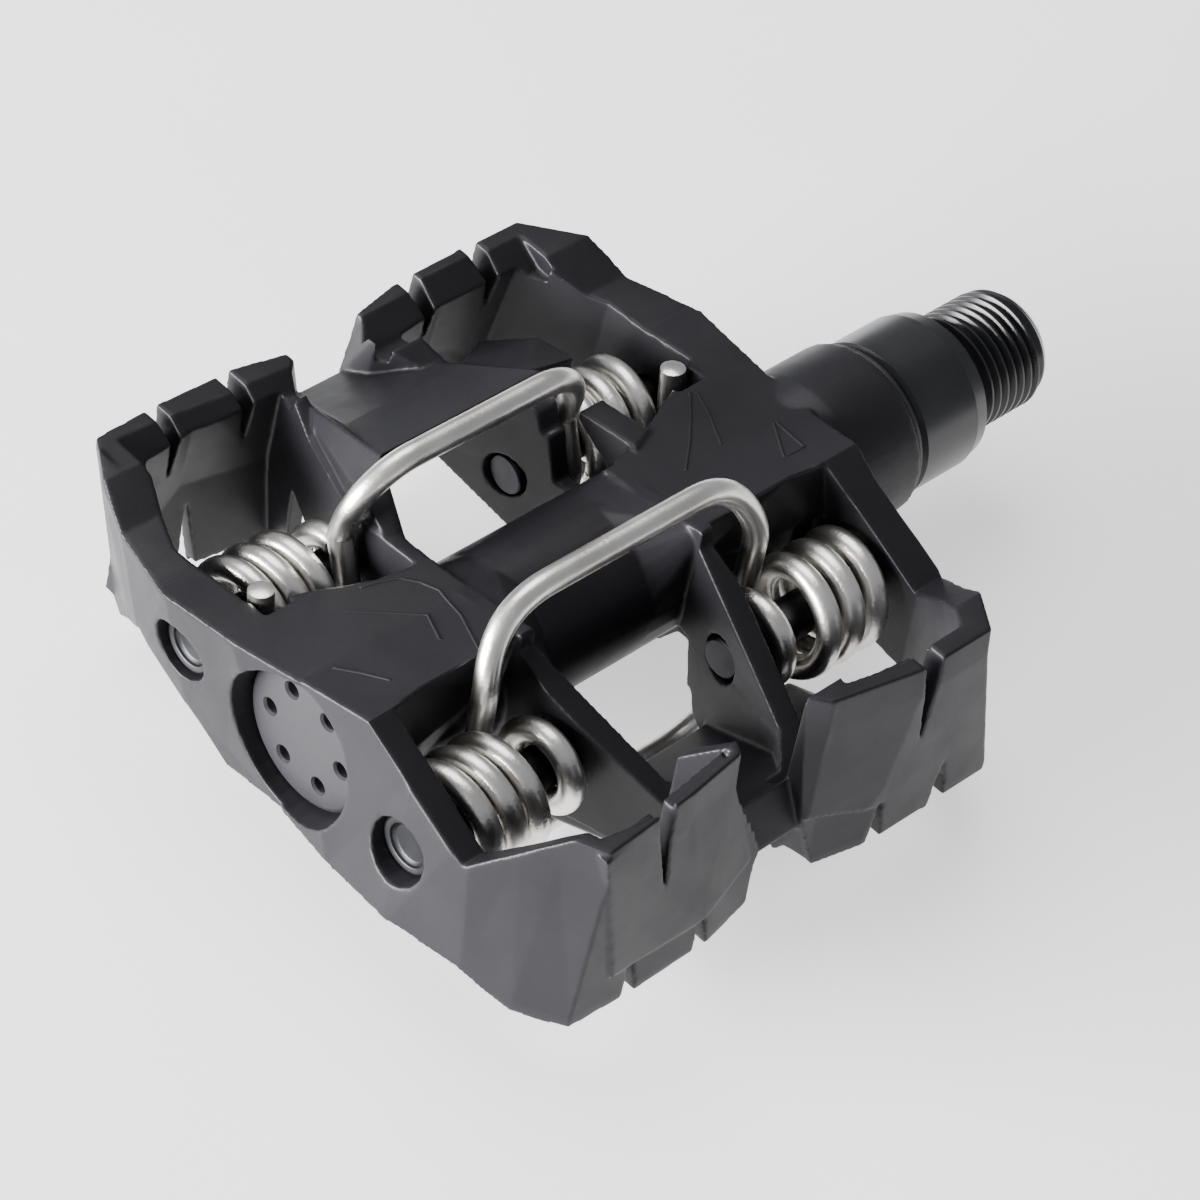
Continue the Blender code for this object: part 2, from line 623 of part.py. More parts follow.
def build_bearing(steel):
    x0, x1 = BEARING_X
    bore = BEARING_SEAT_R + GAP
    lathe("bearing_inner_ring", [(x0, RACE_INNER_R)] + groove(-1.0)
          + [(x1, RACE_INNER_R), (x1, bore), (x0, bore)], HUB_SIDES, steel)
    lathe("bearing_outer_ring", [(x0, RACE_OUTER_R)] + groove(1.0)
          + [(x1, RACE_OUTER_R), (x1, BEARING_OUTER_R), (x0, BEARING_OUTER_R)], HUB_SIDES, steel)
    for k in range(BALL_COUNT):
        angle = math.tau * k / BALL_COUNT
        bm = bmesh.new()
        bmesh.ops.create_uvsphere(bm, u_segments=8, v_segments=6, radius=BALL_R)
        centre = Vector((BALL_X, BALL_CIRCLE_R * math.cos(angle), BALL_CIRCLE_R * math.sin(angle)))
        bmesh.ops.translate(bm, vec=centre, verts=bm.verts)
        link_bmesh("bearing_ball_" + str(k + 1), bm, steel, 60)


def build_axle_end(steel):
    """Washer and lock nut that hold the bearing on the axle."""
    x0, x1 = WASHER_X
    r0, r1 = WASHER_R
    lathe("spacer_washer", [(x0, r0), (x1, r0), (x1, r1), (x0, r1)], AXLE_SIDES, steel)
    x0, x1 = NUT_X
    nut = cylinder_object("lock_nut", x0, x1, NUT_ACROSS_FLATS / math.sqrt(3.0), 6)
    bake(nut, "DIFFERENCE", [cylinder_object("nut_bore", x0 - 1.0, x1 + 1.0, STUB_R + GAP, AXLE_SIDES)])
    finish(nut, steel)


def build_end_cap(mat):
    cap = turned_solid("end_cap", [(CAP_FACE_X, CAP_BORE_R - 0.5), (CAP_FACE_X + 0.5, CAP_BORE_R),
                                   (CAP_BACK_X, CAP_BORE_R)], HUB_SIDES, mat)
    holes = []
    for k in range(CAP_HOLES):
        angle = math.tau * k / CAP_HOLES
        y = CAP_HOLE_CIRCLE * math.cos(angle)
        z = CAP_HOLE_CIRCLE * math.sin(angle)
        rings = [circle_yz(x, CAP_HOLE_R, CAP_HOLE_SIDES, y, z)
                 for x in (CAP_FACE_X - 1.0, CAP_FACE_X + CAP_HOLE_DEPTH)]
        holes.append(loft_object("cap_hole", rings))
    bake(cap, "DIFFERENCE", holes)
    finish(cap, mat)


def build_pins(steel):
    for label, cy in (("front", PIN_Y), ("rear", -PIN_Y)):
        pin = turned_solid("pin_outboard_" + label,
                           [(PIN_OUTER_X, PIN_HEAD_R), (PIN_STEP_X, PIN_HEAD_R), (PIN_STEP_X, PIN_STEM_R),
                            (PIN_INNER_X, PIN_STEM_R)], PIN_SIDES, steel, cy)
        dish = cylinder_object("dish", PIN_OUTER_X - 1.0, PIN_HOLLOW_X, PIN_BORE_R, PIN_SIDES, cy)
        bake(pin, "DIFFERENCE", [dish])
        finish(pin, steel)
        x0, x1 = INBOARD_PIN_X
        turned_solid("pin_inboard_" + label, [(x0, PIN_STEM_R), (x1, PIN_STEM_R)], PIN_SIDES, steel, cy)


def sweep_wire(name, path, mat):
    """Round wire along a path in mm, its section carried along without twist."""
    points = [Vector(p) for p in path]
    bm = bmesh.new()
    side = None
    rings = []
    last = len(points) - 1
    for i, point in enumerate(points):
        tangent = (points[min(i + 1, last)] - points[max(i - 1, 0)]).normalized()
        if side is None:
            side = tangent.orthogonal().normalized()
        side = (side - tangent * side.dot(tangent)).normalized()
        up = tangent.cross(side)
        rings.append([tuple(point + WIRE_R * (math.cos(a) * side + math.sin(a) * up))
                      for a in (math.tau * k / WIRE_SIDES for k in range(WIRE_SIDES))])
    add_loft(bm, rings)
    return link_bmesh(name, bm, mat, 50)


def rounded_path(corners, radius):
    """Polyline with its inner corners replaced by arcs."""
    points = [Vector(c) for c in corners]
    path = [points[0]]
    for before, corner, after in zip(points, points[1:], points[2:]):
        a = (before - corner).normalized()
        b = (after - corner).normalized()
        if a.dot(b) < -0.999:
            path.append(corner)
            continue
        half = a.angle(b) / 2.0
        reach = radius / math.tan(half)
        centre = corner + (a + b).normalized() * radius / math.sin(half)
        start = corner + a * reach - centre
        end = corner + b * reach - centre
        turn = start.rotation_difference(end)
        still = turn.copy()
        still.identity()
        path += [centre + still.slerp(turn, k / BEND_STEPS) @ start for k in range(BEND_STEPS + 1)]
    path.append(points[-1])
    return [tuple(p) for p in path]


def coil_path(ends):
    """Helix on a rear pin from the tang up to the inner end, where it points straight up."""
    inner, outer = ends
    path = [(outer, TANG_Y, TANG_Z)]
    steps = COIL_TURNS * TURN_STEPS
    for i in range(steps + 1):
        share = i / steps
        angle = math.tau * COIL_TURNS * (share - 1.0)
        x = outer + (inner - outer) * share
        path.append((x, -PIN_Y + COIL_R * math.cos(angle), COIL_R * math.sin(angle)))
    return path


def eye_path(x, advance):
    """Loop round a front pin, from the leg down behind the pin and round to its top."""
    path = []
    for i in range(EYE_STEPS + 1):
        share = i / EYE_STEPS
        angle = math.radians(EYE_START + EYE_SWEEP * share)
        path.append((x + advance * share, PIN_Y + EYE_R * math.cos(angle), EYE_R * math.sin(angle)))
    return path


def side_named(low):
    return "low" if low else "top"


def place_origin(obj, y):
    """Put the piece's origin on the pin axis at y (mm) without moving the piece."""
    shift = Vector((0.0, y * MM, 0.0))
    for vertex in obj.data.vertices:
        vertex.co -= shift
    obj.location = shift


def build_sprung_bail(mat, low):
    """Arch and its two coils; the arch stops one gap above the coil ends."""
    place = turned if low else list
    label = side_named(low)
    leg_y = -PIN_Y + COIL_R
    left = LEFT_COIL_X[0]
    right = RIGHT_COIL_X[0]
    flat = rounded_path([(left, 0.0, LEG_CLEARANCE), (left, 0.0, SPRUNG_BAR_Z),
                         (right, 0.0, SPRUNG_BAR_Z), (right, 0.0, LEG_CLEARANCE)],
                        SPRUNG_BEND_R)
    arch = []
    for x, _, z in flat:
        share = max(0.0, (z - SPRUNG_LEAN_Z) / (SPRUNG_BAR_Z - SPRUNG_LEAN_Z))
        arch.append((x, leg_y + (SPRUNG_BAR_Y - leg_y) * share * share * (3.0 - 2.0 * share), z))
    bail = sweep_wire("sprung_bail_" + label, place(arch), mat)
    place_origin(bail, PIN_Y if low else -PIN_Y)
    sweep_wire("coil_left_" + label, place(coil_path(LEFT_COIL_X)), mat)
    sweep_wire("coil_right_" + label, place(coil_path(RIGHT_COIL_X)), mat)


def build_fixed_bail(mat, low):
    place = turned if low else list
    left = eye_path(LEFT_EYE_X, EYE_ADVANCE)
    right = eye_path(RIGHT_EYE_X, -EYE_ADVANCE)
    arch = rounded_path([(LEFT_EYE_X, *FIXED_LEG_YZ), (LEFT_EYE_X, *FIXED_BAR_YZ),
                         (RIGHT_EYE_X, *FIXED_BAR_YZ), (RIGHT_EYE_X, *FIXED_LEG_YZ)], BEND_R)
    wire = place(list(reversed(left)) + arch + right)
    bail = sweep_wire("fixed_bail_" + side_named(low), wire, mat)
    place_origin(bail, -PIN_Y if low else PIN_Y)


def main():
    clear_scene()
    composite = make_material("black_composite", (0.035, 0.036, 0.04), 0.0, 0.55)
    black_steel = make_material("black_steel", (0.03, 0.03, 0.033), 0.9, 0.35)
    bright_wire = make_material("nickel_wire", (0.62, 0.6, 0.57), 1.0, 0.25)
    bright_steel = make_material("bearing_steel", (0.55, 0.56, 0.58), 1.0, 0.2)
    pin_steel = make_material("dark_pin_steel", (0.2, 0.2, 0.21), 1.0, 0.35)
    bush_plastic = make_material("bush_plastic", (0.5, 0.42, 0.25), 0.0, 0.5)
    rubber = make_material("seal_rubber", (0.02, 0.02, 0.02), 0.0, 0.8)
    cap_plastic = make_material("cap_plastic", (0.03, 0.03, 0.033), 0.0, 0.5)
    build_body(composite)
    build_axle(black_steel)
    build_bush_and_seal(bush_plastic, rubber)
    build_bearing(bright_steel)
    build_axle_end(bright_steel)
    build_end_cap(cap_plastic)
    build_pins(pin_steel)
    for low in (False, True):
        build_sprung_bail(bright_wire, low)
        build_fixed_bail(bright_wire, low)


main()
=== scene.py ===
"""Looks for the double sided clipless pedal: moulded body, drawn wire bails, satin axle.

Every piece is drawn in millimetres in the row frame and scaled to metres when it is linked.
The body is unchanged by half a turn about the axle, so wires and raised lines are drawn once
and repeated turned over.
"""

import math

import bmesh
import bpy
from mathutils import Matrix, Vector
from mathutils.bvhtree import BVHTree


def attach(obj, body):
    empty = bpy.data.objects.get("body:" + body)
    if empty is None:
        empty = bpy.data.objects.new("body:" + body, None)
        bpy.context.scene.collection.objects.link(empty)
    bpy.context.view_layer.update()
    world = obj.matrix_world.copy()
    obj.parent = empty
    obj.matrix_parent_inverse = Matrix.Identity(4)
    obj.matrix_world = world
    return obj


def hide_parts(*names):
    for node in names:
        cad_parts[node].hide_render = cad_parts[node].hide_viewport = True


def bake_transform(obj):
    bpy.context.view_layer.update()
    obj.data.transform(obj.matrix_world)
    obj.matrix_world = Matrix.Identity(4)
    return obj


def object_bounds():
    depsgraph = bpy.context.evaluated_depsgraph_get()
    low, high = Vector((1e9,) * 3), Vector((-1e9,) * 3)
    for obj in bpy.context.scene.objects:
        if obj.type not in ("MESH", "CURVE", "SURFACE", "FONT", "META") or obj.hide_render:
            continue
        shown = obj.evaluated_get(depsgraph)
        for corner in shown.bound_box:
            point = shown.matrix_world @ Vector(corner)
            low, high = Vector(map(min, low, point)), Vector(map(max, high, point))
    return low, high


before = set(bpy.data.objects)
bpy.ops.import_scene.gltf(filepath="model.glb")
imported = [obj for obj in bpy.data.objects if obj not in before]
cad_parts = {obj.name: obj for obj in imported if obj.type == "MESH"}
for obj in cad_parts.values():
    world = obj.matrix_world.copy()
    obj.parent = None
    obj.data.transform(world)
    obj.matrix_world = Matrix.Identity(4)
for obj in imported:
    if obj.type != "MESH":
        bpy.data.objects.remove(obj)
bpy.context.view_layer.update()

MM = 0.001

# Camera (metres and degrees, lens and sensor in mm): the corner view from above the outboard rear
CAMERA_AT = (-0.26529, -0.20485, 0.31777)
CAMERA_AIM = (-0.01233, -0.00309, 0.0)
CAMERA_ROLL = 11.55
CAMERA_LENS = 130.32
CAMERA_SENSOR = 36.0
CAMERA_CLIP = (0.01, 20.0)

# Meshes: weld distance (mm), the angle above which an edge stays sharp (degrees), the sides of a
# turned part, and the share of a side that an eased corner may take
WELD = 0.0005
SHARP_ANGLE = 35.0
TURN_SIDES = 96
CORNER_REACH = 0.45

# Both pin lines run along x at plus and minus this y (mm)
PIN_Y = 16.73

# Wires (mm)
WIRE_R = 1.4
WIRE_SIDES = 28
COIL_R = 5.5
COIL_TURNS = 3
COIL_STEPS = 40
LEFT_COIL_X = (-37.4, -46.7)
RIGHT_COIL_X = (0.8, 11.3)
TANG_YZ = (-12.3, -9.0)
SPRUNG_BAR_YZ = (-9.0, 17.0)
SPRUNG_LEAN_Z = 8.0
SPRUNG_BEND_R = 9.0
EYE_R = 4.2
EYE_START = 155.0
EYE_SWEEP = 300.0
EYE_STEPS = 56
EYE_ADVANCE = 0.9
SAME_POINT = 0.01
PATH_STEP = 1.0
LEFT_EYE_X = -33.7
RIGHT_EYE_X = -2.2
FIXED_LEG_YZ = (15.0, 7.0)
FIXED_BAR_YZ = (13.0, 16.2)
BEND_R = 7.0
BEND_STEPS = 18

# Body skin (mm)
SKIN_VOXEL = 0.2
SKIN_SMOOTH_STEPS = 8
SKIN_TRIANGLES = 170000
SKIN_WELD_M = 0.000002


# ---------------------------------------------------------------- mesh helpers

def link_bmesh(name, bm, smooth_angle=SHARP_ANGLE):
    """Turn a bmesh drawn in mm into a scene object in metres."""
    bmesh.ops.remove_doubles(bm, verts=bm.verts, dist=WELD)
    bmesh.ops.recalc_face_normals(bm, faces=bm.faces)
    bmesh.ops.scale(bm, vec=(MM, MM, MM), verts=bm.verts)
    mesh = bpy.data.meshes.new(name)
    bm.to_mesh(mesh)
    bm.free()
    obj = bpy.data.objects.new(name, mesh)
    bpy.context.scene.collection.objects.link(obj)
    mesh.shade_smooth()
    mesh.set_sharp_from_angle(angle=math.radians(smooth_angle))
    return obj


def add_loft(bm, rings):
    """Closed tube through rings of equal length, capped at both ends."""
    verts = [[bm.verts.new(p) for p in ring] for ring in rings]
    count = len(rings[0])
    for low, high in zip(verts, verts[1:]):
        for i in range(count):
            j = (i + 1) % count
            bm.faces.new((low[i], low[j], high[j], high[i]))
    for ring in (verts[0], verts[-1]):
        bm.faces.new(ring)


def circle_yz(x, radius, sides, cy=0.0, cz=0.0):
    """Points round a circle that faces X, with a flat and not a corner on +Y."""
    angles = [math.tau * (i + 0.5) / sides for i in range(sides)]
    return [(x, cy + radius * math.cos(a), cz + radius * math.sin(a)) for a in angles]


def turned_solid(name, stations, sides=TURN_SIDES, cy=0.0):
    """Solid of revolution along X from (x, radius) stations, closed at both ends."""
    bm = bmesh.new()
    add_loft(bm, [circle_yz(x, r, sides, cy) for x, r in stations])
    return link_bmesh(name, bm)


def turned_ring(name, outline, sides=TURN_SIDES):
    """Closed (x, radius) outline turned about the axle, for rings."""
    bm = bmesh.new()
    columns = [[bm.verts.new(p) for p in circle_yz(x, r, sides)] for x, r in outline]
    count = len(outline)
    for i in range(count):
        here, there = columns[i], columns[(i + 1) % count]
        for k in range(sides):
            n = (k + 1) % sides
            bm.faces.new((here[k], here[n], there[n], there[k]))
    return link_bmesh(name, bm)


def rounded_outline(points, radius, steps):
    """Corners of an open (x, radius) line eased by small arcs."""
    line = [Vector(p) for p in points]
    eased = [line[0]]
    for before, corner, after in zip(line, line[1:], line[2:]):
        a = before - corner
        b = after - corner
        reach = min(radius, a.length * CORNER_REACH, b.length * CORNER_REACH)
        start = corner + a.normalized() * reach
        end = corner + b.normalized() * reach
        for k in range(steps + 1):
            t = k / steps
            eased.append(start * (1 - t) ** 2 + corner * 2 * t * (1 - t) + end * t ** 2)
    eased.append(line[-1])
    return [tuple(p) for p in eased]


def apply_modifiers(obj):
    depsgraph = bpy.context.evaluated_depsgraph_get()
    mesh = bpy.data.meshes.new_from_object(obj.evaluated_get(depsgraph))
    obj.modifiers.clear()
    obj.data = mesh


def cut_away(obj, tool):
    """Cut the tool's shape out of the object and drop the tool."""
    mod = obj.modifiers.new("cut", "BOOLEAN")
    mod.operation = "DIFFERENCE"
    mod.solver = "EXACT"
    mod.object = tool
    apply_modifiers(obj)
    bpy.data.objects.remove(tool)


def joined(name, parts):
    """One object from several, with their meshes side by side."""
    bm = bmesh.new()
    for part in parts:
        bm.from_mesh(part.data)
        bpy.data.objects.remove(part)
    mesh = bpy.data.meshes.new(name)
    bm.to_mesh(mesh)
    bm.free()
    obj = bpy.data.objects.new(name, mesh)
    bpy.context.scene.collection.objects.link(obj)
    return obj


def shade(obj, smooth_angle):
    """Smooth shading, with edges over the angle in degrees left sharp."""
    obj.data.shade_smooth()
    obj.data.set_sharp_from_angle(angle=math.radians(smooth_angle))
    return obj


# ---------------------------------------------------------------- materials

NOISE_ROUGHNESS = 0.55
RAMP_AT = (0.35, 0.65)

# Finishes: the two ends of each colour, the polish, and how strong the fine relief is
COMPOSITE = {"low": (0.0085, 0.0082, 0.0104), "high": (0.0118, 0.0114, 0.0140),
             "rough": 0.42, "grain": 0.12, "specular": 0.24}
CAP_PLASTIC = {"low": (0.016, 0.0155, 0.019), "high": (0.020, 0.0195, 0.023),
               "rough": 0.42, "grain": 0.05, "specular": 0.35}
SEAL_RUBBER = {"low": (0.010, 0.010, 0.011), "high": (0.016, 0.016, 0.017),
               "rough": 0.38, "grain": 0.03, "specular": 0.5}
BUSH_PLASTIC = {"low": (0.42, 0.34, 0.20), "high": (0.50, 0.42, 0.25),
                "rough": 0.5, "grain": 0.03, "specular": 0.5}
BLACK_STEEL = {"low": (0.009, 0.009, 0.0105), "high": (0.014, 0.014, 0.016),
               "rough": 0.30, "metallic": 0.25, "lines": 0.06, "coat": 0.25}
PIN_STEEL = {"low": (0.022, 0.022, 0.025), "high": (0.05, 0.05, 0.054),
             "rough": 0.40, "metallic": 1.0, "lines": 0.10, "coat": 0.0}
BEARING_STEEL = {"low": (0.50, 0.51, 0.53), "high": (0.58, 0.59, 0.61),
                 "rough": 0.18, "metallic": 1.0, "lines": 0.05, "coat": 0.0}
WIRE_LOW = (0.72, 0.695, 0.66)
WIRE_HIGH = (0.88, 0.86, 0.825)
WIRE_ROUGH = (0.27, 0.36)


def noise(tree, coords, scale, detail, stretch=None):
    """Noise texture in object space, in features per metre, stretched along an axis if asked."""
    source = coords
    if stretch is not None:
        mapping = tree.nodes.new("ShaderNodeMapping")
        mapping.inputs["Scale"].default_value = stretch
        tree.links.new(coords, mapping.inputs["Vector"])
        source = mapping.outputs["Vector"]
    tex = tree.nodes.new("ShaderNodeTexNoise")
    tex.inputs["Scale"].default_value = scale
    tex.inputs["Detail"].default_value = detail
    tex.inputs["Roughness"].default_value = NOISE_ROUGHNESS
    tree.links.new(source, tex.inputs["Vector"])
    return tex.outputs["Fac"]


def ramp(tree, value, low, high):
    """Colour or grey ramp between two ends."""
    node = tree.nodes.new("ShaderNodeValToRGB")
    node.color_ramp.elements[0].position = RAMP_AT[0]
    node.color_ramp.elements[0].color = (*low, 1.0)
    node.color_ramp.elements[1].position = RAMP_AT[1]
    node.color_ramp.elements[1].color = (*high, 1.0)
    tree.links.new(value, node.inputs["Fac"])
    return node.outputs["Color"]


def grey(value):
    return (value, value, value)


def bump(tree, height, strength, distance, before=None):
    """Relief from a height value, with the distance in metres, on top of another if given."""
    node = tree.nodes.new("ShaderNodeBump")
    node.inputs["Strength"].default_value = strength
    node.inputs["Distance"].default_value = distance
    tree.links.new(height, node.inputs["Height"])
    if before is not None:
        tree.links.new(before, node.inputs["Normal"])
    return node.outputs["Normal"]


def new_material(name, metallic):
    """A new material with its node tree, its shader and object space coordinates."""
    mat = bpy.data.materials.new(name)
    mat.use_nodes = True
    tree = mat.node_tree
    shader = tree.nodes["Principled BSDF"]
    shader.inputs["Metallic"].default_value = metallic
    coords = tree.nodes.new("ShaderNodeTexCoord").outputs["Object"]
    return mat, tree, shader, coords


def moulded_plastic(name, low, high, rough, grain, specular):
    """Glass filled plastic: faint mottling, fine spark grain, polish that varies a little."""
    mat, tree, shader, coords = new_material(name, 0.0)
    mottle = noise(tree, coords, scale=55.0, detail=4.0)
    tree.links.new(ramp(tree, mottle, low, high), shader.inputs["Base Color"])
    wear = noise(tree, coords, scale=160.0, detail=5.0)
    polish = ramp(tree, wear, grey(rough - 0.04), grey(rough + 0.05))
    tree.links.new(polish, shader.inputs["Roughness"])
    shader.inputs["Specular IOR Level"].default_value = specular
    fine = noise(tree, coords, scale=4200.0, detail=2.0)
    coarse = noise(tree, coords, scale=260.0, detail=2.0)
    soft = bump(tree, coarse, strength=0.10, distance=0.0004)
    spark = bump(tree, fine, strength=grain, distance=0.0001, before=soft)
    tree.links.new(spark, shader.inputs["Normal"])
    return mat


def turned_metal(name, low, high, rough, metallic, lines, coat):
    """Lathe turned metal: fine rings round X, with smudges in the polish."""
    mat, tree, shader, coords = new_material(name, metallic)
    smudge = noise(tree, coords, scale=90.0, detail=4.0)
    tree.links.new(ramp(tree, smudge, low, high), shader.inputs["Base Color"])
    polish = ramp(tree, smudge, grey(rough - 0.04), grey(rough + 0.06))
    tree.links.new(polish, shader.inputs["Roughness"])
    rings = noise(tree, coords, scale=900.0, detail=2.0, stretch=(6.0, 0.05, 0.05))
    tree.links.new(bump(tree, rings, strength=lines, distance=0.00008), shader.inputs["Normal"])
    shader.inputs["Coat Weight"].default_value = coat
    shader.inputs["Coat Roughness"].default_value = 0.25
    return mat


def drawn_wire(name):
    """Bright plated spring wire: soft die lines, fine speckle, a few duller patches."""
    mat, tree, shader, coords = new_material(name, 1.0)
    patch = noise(tree, coords, scale=120.0, detail=5.0)
    tree.links.new(ramp(tree, patch, WIRE_LOW, WIRE_HIGH), shader.inputs["Base Color"])
    tree.links.new(ramp(tree, patch, *map(grey, WIRE_ROUGH)), shader.inputs["Roughness"])
    speckle = noise(tree, coords, scale=2600.0, detail=2.0)
    streak = noise(tree, coords, scale=700.0, detail=2.0, stretch=(0.12, 1.0, 1.0))
    soft = bump(tree, streak, strength=0.10, distance=0.00015)
    spark = bump(tree, speckle, strength=0.35, distance=0.00008, before=soft)
    tree.links.new(spark, shader.inputs["Normal"])
    return mat


def paint(obj, mat):
    obj.data.materials.clear()
    obj.data.materials.append(mat)
    return obj


# ---------------------------------------------------------------- wires

def sweep(name, path, radius=WIRE_R, sides=WIRE_SIDES, edge=0.25):
    """Round wire along a path in mm, with softly sheared ends."""
    points = [Vector(p) for p in path]
    last = len(points) - 1
    tangents = [(points[min(i + 1, last)] - points[max(i - 1, 0)]).normalized() for i in range(last + 1)]
    first_way, last_way = tangents[0], tangents[last]
    stations = [(points[0], first_way, radius - edge),
                (points[0] + first_way * edge * 0.5, first_way, radius)]
    stations += [(p, t, radius) for p, t in zip(points[1:-1], tangents[1:-1])]
    stations += [(points[last] - last_way * edge * 0.5, last_way, radius),
                 (points[last], last_way, radius - edge)]
    side = first_way.orthogonal().normalized()
    rings = []
    for point, tangent, r in stations:
        side = (side - tangent * side.dot(tangent)).normalized()
        up = tangent.cross(side)
        rings.append([point + r * (math.cos(a) * side + math.sin(a) * up)
                      for a in (math.tau * k / sides for k in range(sides))])
    bm = bmesh.new()
    add_loft(bm, rings)
    return link_bmesh(name, bm, smooth_angle=50.0)


def rounded_path(corners, radius):
    """Polyline with its inner corners replaced by arcs."""
    points = [Vector(c) for c in corners]
    path = [points[0]]
    for before, corner, after in zip(points, points[1:], points[2:]):
        a = (before - corner).normalized()
        b = (after - corner).normalized()
        half = a.angle(b) / 2.0
        reach = radius / math.tan(half)
        centre = corner + (a + b).normalized() * radius / math.sin(half)
        start = corner + a * reach - centre
        turn = start.rotation_difference(corner + b * reach - centre)
        still = turn.copy()
        still.identity()
        path += [centre + still.slerp(turn, k / BEND_STEPS) @ start for k in range(BEND_STEPS + 1)]
    path.append(points[-1])
    return path


def refined(path, step):
    """The same line with no gap longer than step."""
    dense = [Vector(path[0])]
    for a, b in zip(path, path[1:]):
        a, b = Vector(a), Vector(b)
        pieces = max(1, math.ceil((b - a).length / step))
        dense += [a.lerp(b, k / pieces) for k in range(1, pieces + 1)]
    return dense


def turned_over(path):
    """The same path after half a turn about the axle."""
    return [(p[0], -p[1], -p[2]) for p in path]


def coil_path(inner, outer):
    """A coil round the rear pin line, from its tang to the arch end."""
    path = [(outer, *TANG_YZ)]
    steps = COIL_TURNS * COIL_STEPS
    for i in range(steps + 1):
        share = i / steps
        angle = math.tau * COIL_TURNS * share
        x = outer + (inner - outer) * share
        path.append((x, -PIN_Y + COIL_R * math.cos(angle), COIL_R * math.sin(angle)))
    return path


def sprung_path():
    """The sprung arch, drawn flat and then leaned over the body above SPRUNG_LEAN_Z."""
    left, right = LEFT_COIL_X[0], RIGHT_COIL_X[0]
    bar_y, bar_z = SPRUNG_BAR_YZ
    leg_y = -PIN_Y + COIL_R
    corners = [(left, 0.0, 0.0), (left, 0.0, bar_z), (right, 0.0, bar_z), (right, 0.0, 0.0)]
    path = []
    for x, _, z in refined(rounded_path(corners, SPRUNG_BEND_R), PATH_STEP):
        share = max(0.0, (z - SPRUNG_LEAN_Z) / (bar_z - SPRUNG_LEAN_Z))
        path.append((x, leg_y + (bar_y - leg_y) * share * share * (3.0 - 2.0 * share), z))
    return path


def eye_path(x, advance):
    """Nearly a full turn of wire round the front pin line, moving sideways by advance as it winds."""
    path = []
    for i in range(EYE_STEPS + 1):
        share = i / EYE_STEPS
        angle = math.radians(EYE_START + EYE_SWEEP * share)
        path.append((x + advance * share, PIN_Y + EYE_R * math.cos(angle), EYE_R * math.sin(angle)))
    return path


def joint_point(a, b):
    """The point a, unless b already lies on it."""
    return [Vector(a)] if (Vector(a) - Vector(b)).length > SAME_POINT else []


def fixed_path():
    """The fixed arch with an eye at each foot, as one wire."""
    arch = rounded_path([(LEFT_EYE_X, *FIXED_LEG_YZ), (LEFT_EYE_X, *FIXED_BAR_YZ),
                         (RIGHT_EYE_X, *FIXED_BAR_YZ), (RIGHT_EYE_X, *FIXED_LEG_YZ)], BEND_R)
    left = [Vector(p) for p in reversed(eye_path(LEFT_EYE_X, EYE_ADVANCE))]
    right = [Vector(p) for p in eye_path(RIGHT_EYE_X, -EYE_ADVANCE)]
    left_half = left[:-1] + joint_point(left[-1], arch[0]) + refined(arch, PATH_STEP)
    return left_half + joint_point(arch[-1], right[0]) + right[1:]


def build_wires(mat):
    for label, place in (("top", list), ("low", turned_over)):
        arch = sweep("sprung_wire_" + label, place(sprung_path()))
        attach(arch, "sprung_" + label)
        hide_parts("sprung_bail_" + label)
        for side, (inner, outer) in (("left", LEFT_COIL_X), ("right", RIGHT_COIL_X)):
            coil = sweep("spring_coil_" + side + "_" + label, place(coil_path(inner, outer)))
            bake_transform(coil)
            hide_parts("coil_" + side + "_" + label)
            paint(coil, mat)
        fixed = sweep("fixed_wire_" + label, place(fixed_path()))
        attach(fixed, "fixed_" + label)
        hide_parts("fixed_bail_" + label)
        for obj in (arch, fixed):
            paint(obj, mat)


# ---------------------------------------------------------------- axle and turned parts

# Axle (x, radius) in mm, from the lock nut end to the crank end
AXLE_STATIONS = (
    (-47.4, 2.6), (-47.0, 3.0), (-44.4, 3.0), (-44.4, 4.0), (-39.1, 4.0), (-39.1, 5.0),
    (25.6, 5.0), (25.6, 7.2), (30.8, 7.2), (30.9, 8.75), (31.4, 9.3), (39.4, 9.3),
    (39.45, 9.2), (41.35, 8.85), (41.9, 8.3), (41.9, 7.4), (41.6, 7.4), (41.6, 6.35),
    (53.8, 6.35), (54.5, 5.8),
)

# Crank thread (mm): its run in and run out are in turns, and its foot is half its width in pitches
THREAD_MINOR_R = 6.35
THREAD_MAJOR_R = 7.144
THREAD_PITCH = 1.27
THREAD_X = (42.5, 53.7)
THREAD_STEPS = 72
THREAD_SINK = 0.25
THREAD_RUN_IN = 0.6
THREAD_RUN_OUT = 0.9
THREAD_FOOT = 0.49
THREAD_CREST = (0.14, 0.02)

# Hex socket in the crank end (mm): 8 mm across flats, with a bevelled mouth
AXLE_END_X = 54.5
HEX_R = 8.0 / math.sqrt(3.0)
HEX_DEPTH = 9.0
HEX_BEVEL = 0.35
HEX_PAST_END = 1.0

# Dust seal (x, radius) in mm, a closed outline
SEAL_OUTLINE = (
    (25.5, 7.35), (25.5, 8.35), (29.5, 8.35), (29.5, 9.7), (29.9, 9.72), (30.0, 8.9),
    (30.2, 8.9), (30.25, 9.3), (30.5, 9.25), (30.5, 7.5), (30.1, 7.35), (25.6, 7.35),
)

